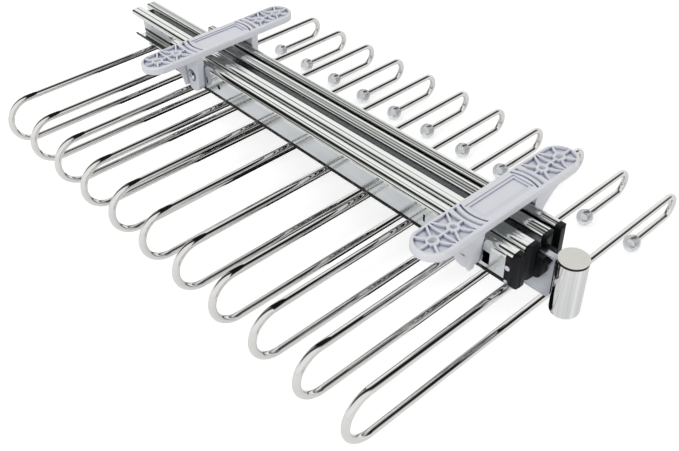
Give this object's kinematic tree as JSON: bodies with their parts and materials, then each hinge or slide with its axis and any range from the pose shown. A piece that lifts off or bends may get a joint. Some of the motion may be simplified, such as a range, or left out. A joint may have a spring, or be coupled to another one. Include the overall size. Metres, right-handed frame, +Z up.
{
  "type": "pull-out trouser rack",
  "caption": "Pull-out trouser rack that screws up under a wardrobe shelf: chrome wire hangers with ball-tipped hooks on two ball-bearing slides, with a knob handle.",
  "frame": {"origin": "middle of the rectangle of the brackets' outer screw slots, level with the brackets' upper faces", "axes": "+X towards the side with the ball-tipped hooks, +Y to the back of the wardrobe, +Z up to the shelf"},
  "size_m": [0.3788, 0.5242, 0.1249],
  "materials": {
    "grey_abs": "moulded, fine satin",
    "zinc_plated_steel": "roll-formed, bright zinc plated",
    "zinc_plated_bar": "drawn, zinc plated, satin",
    "cage_steel": "stamped, oiled",
    "bearing_steel": "ground and polished",
    "chrome_wire": "bent, bright chrome plated",
    "chrome_handle": "turned, satin chrome plated",
    "pale_disc": "moulded, matt",
    "clear_plastic": "moulded, clear",
    "black_plastic": "moulded, satin",
    "bright_zinc_screw": "cold-headed, bright zinc plated",
    "yellow_zinc_screw": "cold-headed, yellow zinc plated"
  },
  "bodies": {
    "frame": {"front_bracket": "grey_abs", "rear_bracket": "grey_abs", "cheek_screws": "bright_zinc_screw", "left_outer_member": "zinc_plated_steel", "right_outer_member": "zinc_plated_steel"},
    "carriage": {"left_drawer_member": "zinc_plated_steel", "right_drawer_member": "zinc_plated_steel", "left_drawer_end_cap": "black_plastic", "right_drawer_end_cap": "black_plastic", "centre_bar": "zinc_plated_bar", "bar_screws": "yellow_zinc_screw", "hanger_wire_1": "chrome_wire", "hanger_wire_2": "chrome_wire", "hanger_wire_3": "chrome_wire", "hanger_wire_4": "chrome_wire", "hanger_wire_5": "chrome_wire", "hanger_wire_6": "chrome_wire", "hanger_wire_7": "chrome_wire", "hanger_wire_8": "chrome_wire", "hanger_wire_9": "chrome_wire", "hanger_wire_10": "chrome_wire", "hanger_wire_11": "chrome_wire", "ball_tips": "clear_plastic", "handle": "chrome_handle", "handle_cap": "pale_disc", "handle_insert": "black_plastic", "handle_screw": "bright_zinc_screw"},
    "left_middle": {"left_intermediate_member": "zinc_plated_steel", "left_intermediate_end_cap": "black_plastic", "left_cap_rivets": "bright_zinc_screw"},
    "right_middle": {"right_intermediate_member": "zinc_plated_steel", "right_intermediate_end_cap": "black_plastic", "right_cap_rivets": "bright_zinc_screw"},
    "left_outer_cage": {"left_outer_ball_cage": "cage_steel", "left_outer_balls": "bearing_steel"},
    "right_outer_cage": {"right_outer_ball_cage": "cage_steel", "right_outer_balls": "bearing_steel"},
    "left_drawer_cage": {"left_drawer_ball_cage": "cage_steel", "left_drawer_balls": "bearing_steel"},
    "right_drawer_cage": {"right_drawer_ball_cage": "cage_steel", "right_drawer_balls": "bearing_steel"}
  },
  "joints": [
    {"name": "carriage_slide", "type": "slide", "parent": "frame", "child": "carriage", "axis": [0, -1, 0], "range_m": [0, 0.39]},
    {"name": "left_middle_slide", "type": "slide", "parent": "frame", "child": "left_middle", "axis": [0, -1, 0], "range_m": [0, 0.195]},
    {"name": "right_middle_slide", "type": "slide", "parent": "frame", "child": "right_middle", "axis": [0, -1, 0], "range_m": [0, 0.195]},
    {"name": "left_outer_cage_slide", "type": "slide", "parent": "frame", "child": "left_outer_cage", "axis": [0, -1, 0], "range_m": [0, 0.0975]},
    {"name": "right_outer_cage_slide", "type": "slide", "parent": "frame", "child": "right_outer_cage", "axis": [0, -1, 0], "range_m": [0, 0.0975]},
    {"name": "left_drawer_cage_slide", "type": "slide", "parent": "frame", "child": "left_drawer_cage", "axis": [0, -1, 0], "range_m": [0, 0.2925]},
    {"name": "right_drawer_cage_slide", "type": "slide", "parent": "frame", "child": "right_drawer_cage", "axis": [0, -1, 0], "range_m": [0, 0.2925]}
  ],
  "couplings": [
    {"joint": "left_middle_slide", "follows": "carriage_slide", "ratio": 0.5},
    {"joint": "right_middle_slide", "follows": "carriage_slide", "ratio": 0.5},
    {"joint": "left_outer_cage_slide", "follows": "carriage_slide", "ratio": 0.25},
    {"joint": "right_outer_cage_slide", "follows": "carriage_slide", "ratio": 0.25},
    {"joint": "left_drawer_cage_slide", "follows": "carriage_slide", "ratio": 0.75},
    {"joint": "right_drawer_cage_slide", "follows": "carriage_slide", "ratio": 0.75}
  ]
}
